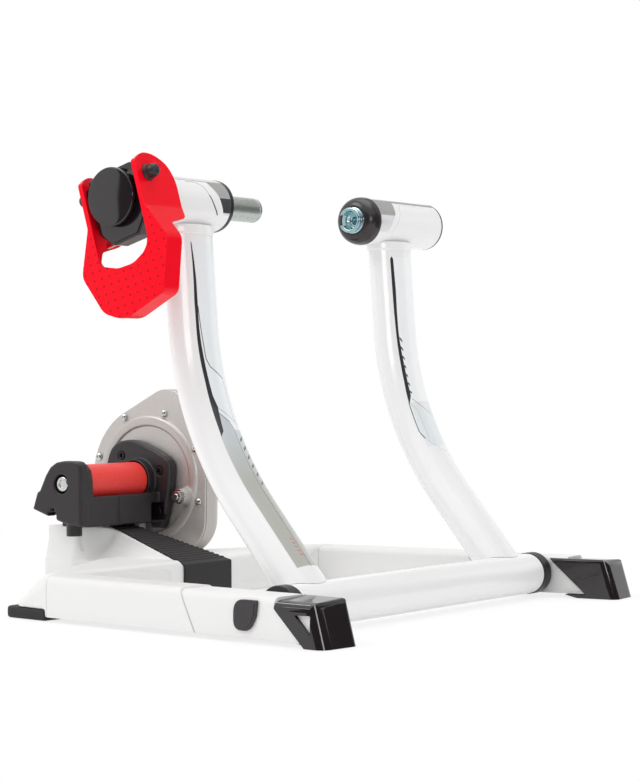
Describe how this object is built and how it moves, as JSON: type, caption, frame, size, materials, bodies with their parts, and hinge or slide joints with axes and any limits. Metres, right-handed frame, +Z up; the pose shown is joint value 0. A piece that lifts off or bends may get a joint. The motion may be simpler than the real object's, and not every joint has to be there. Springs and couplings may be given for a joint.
{
  "type": "wheel-on turbo trainer",
  "caption": "Wheel-on bicycle trainer with a splayed base, a folding U-frame that clamps the rear axle, and a roller on a magnetic resistance unit.",
  "frame": {"origin": "middle of the footprint, on the floor under the feet", "axes": "+X points to the front of the bicycle, +Y to its left, +Z up"},
  "size_m": [0.5632, 0.5512, 0.4342],
  "materials": {
    "white_paint": "glossy white paint",
    "white_moulding": "satin white moulding",
    "black_moulding": "satin black moulding",
    "black_gloss": "glossy black moulding",
    "black_rubber": "matt black rubber",
    "red_gloss": "glossy red moulding",
    "roller_elastomer": "smooth red elastomer",
    "zinc": "bright zinc plate",
    "black_steel": "blackened steel",
    "chrome": "polished chrome plate",
    "steel": "bare steel",
    "cast_aluminium": "matt grey coated casting"
  },
  "bodies": {
    "base": {"left_rail_middle": "white_moulding", "left_rail_front": "white_moulding", "left_front_foot": "black_gloss", "left_rear_pad": "black_rubber", "left_plug_cap": "black_moulding", "left_pivot_bolt": "steel", "right_rail_middle": "white_moulding", "right_rail_front": "white_moulding", "right_front_foot": "black_gloss", "right_rear_pad": "black_rubber", "right_plug_cap": "black_moulding", "right_pivot_bolt": "steel", "rear_body": "white_moulding", "ramp_tread": "black_rubber", "cradle_outer": "black_moulding", "cradle_inner": "black_moulding", "roller_bolt": "zinc", "near_bearing": "steel", "far_bearing": "steel", "front_plate": "cast_aluminium", "rear_cover": "cast_aluminium", "magnet_carrier": "steel", "stud_bolt": "zinc", "plate_screw_1": "zinc", "plate_screw_2": "zinc", "plate_screw_3": "zinc", "plate_screw_4": "zinc", "plate_screw_5": "zinc", "plate_screw_6": "zinc", "plate_screw_7": "zinc", "plate_screw_8": "zinc", "cradle_screw_1": "black_steel", "cradle_screw_2": "black_steel", "cradle_screw_3": "black_steel"},
    "u_frame": {"cross_tube": "white_paint", "left_upright": "white_paint", "left_pivot_bush": "black_moulding", "left_hub_tube": "white_paint", "left_hub_band": "chrome", "right_upright": "white_paint", "right_pivot_bush": "black_moulding", "right_hub_tube": "white_paint", "right_hub_band": "chrome", "hub_dome": "black_moulding", "hub_end_cap": "white_moulding", "plunger_guide": "black_moulding", "plunger_spring": "steel"},
    "cup": {"axle_cup": "zinc"},
    "plunger": {"plunger": "zinc"},
    "head": {"clamp_yoke": "black_moulding", "clamp_knob": "black_gloss", "lever_stop_pin": "zinc"},
    "lever": {"clamp_lever": "red_gloss", "lever_cam_pin": "steel", "front_pin_cap": "black_moulding", "rear_pin_cap": "black_moulding"},
    "roller": {"roller": "roller_elastomer", "roller_shaft": "steel", "rotor": "steel"}
  },
  "joints": [
    {"name": "frame_fold", "type": "hinge", "parent": "base", "child": "u_frame", "pos_m": [0.18836, 0, 0.0248], "axis": [0, 1, 0], "range_deg": [-45, 15]},
    {"name": "head_turn", "type": "hinge", "parent": "u_frame", "child": "head", "pos_m": [0.03786, -0.25, 0.3959], "axis": [0, 1, 0], "continuous": true},
    {"name": "lever_swing", "type": "hinge", "parent": "head", "child": "lever", "pos_m": [0.03465, -0.256, 0.40694], "axis": [-0.9603, 0, -0.279], "range_deg": [0, 95]},
    {"name": "plunger_slide", "type": "slide", "parent": "u_frame", "child": "plunger", "axis": [0, -1, 0], "range_m": [0, 0.008]},
    {"name": "cup_turn", "type": "hinge", "parent": "u_frame", "child": "cup", "pos_m": [0.03786, 0.11, 0.3959], "axis": [0, 1, 0], "range_deg": [-180, 180]},
    {"name": "roller_spin", "type": "hinge", "parent": "base", "child": "roller", "pos_m": [-0.20114, 0, 0.1212], "axis": [0, 1, 0], "continuous": true}
  ],
  "couplings": [
    {"joint": "plunger_slide", "follows": "lever_swing", "m_per_rad": 0.0048249}
  ]
}
